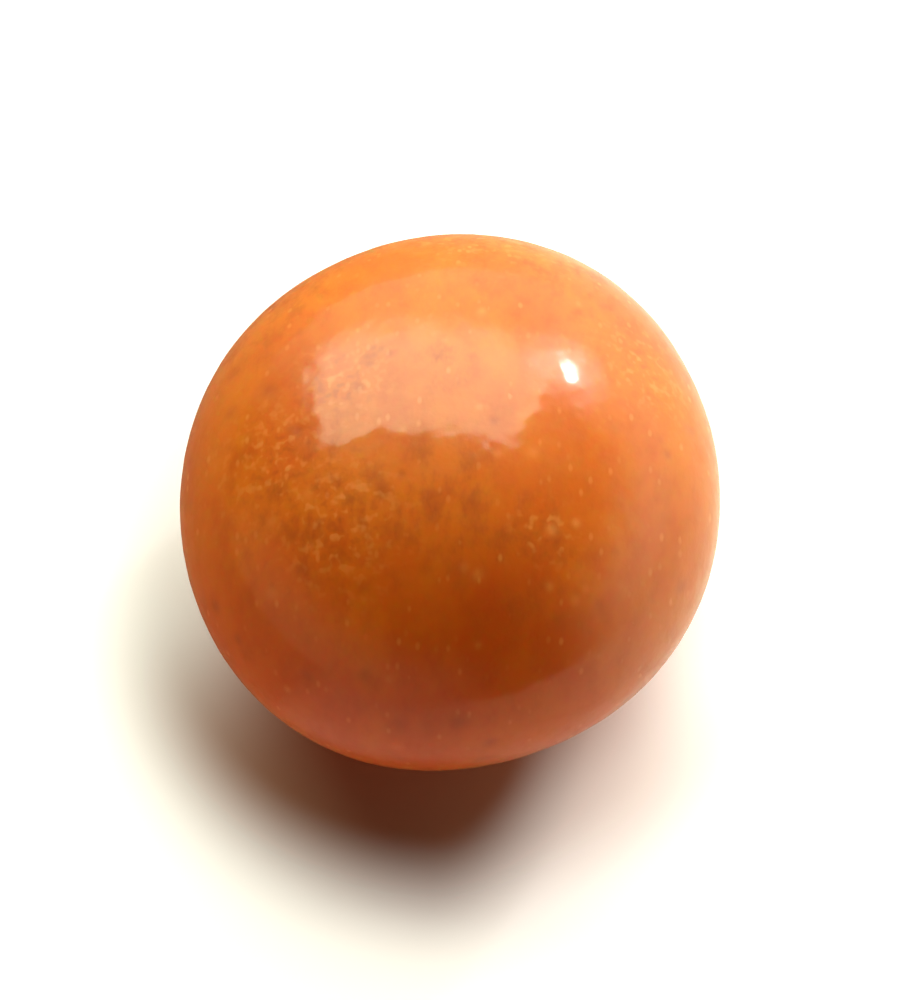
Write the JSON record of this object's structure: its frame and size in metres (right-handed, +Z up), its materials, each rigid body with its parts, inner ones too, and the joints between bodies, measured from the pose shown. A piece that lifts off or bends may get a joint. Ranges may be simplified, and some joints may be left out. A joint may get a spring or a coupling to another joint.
{
  "type": "fruit chew",
  "caption": "Sugar-panned orange fruit chew: an oblate, slightly uneven domed sweet with a full round rim and a small flat foot to rest on.",
  "frame": {"origin": "on the surface the chew rests on, under the middle of its bounding box", "axes": "+Z up through the thickness, from the foot to the top dome; -Y is the front, nearest the viewer; +X is the viewer's right"},
  "size_m": [0.0174, 0.0182, 0.0126],
  "materials": {
    "sugar_coat": "hard sugar coat, mottled orange, polished but finely pitted"
  },
  "bodies": {
    "root": {"fruit_chew": "sugar_coat"}
  },
  "joints": []
}
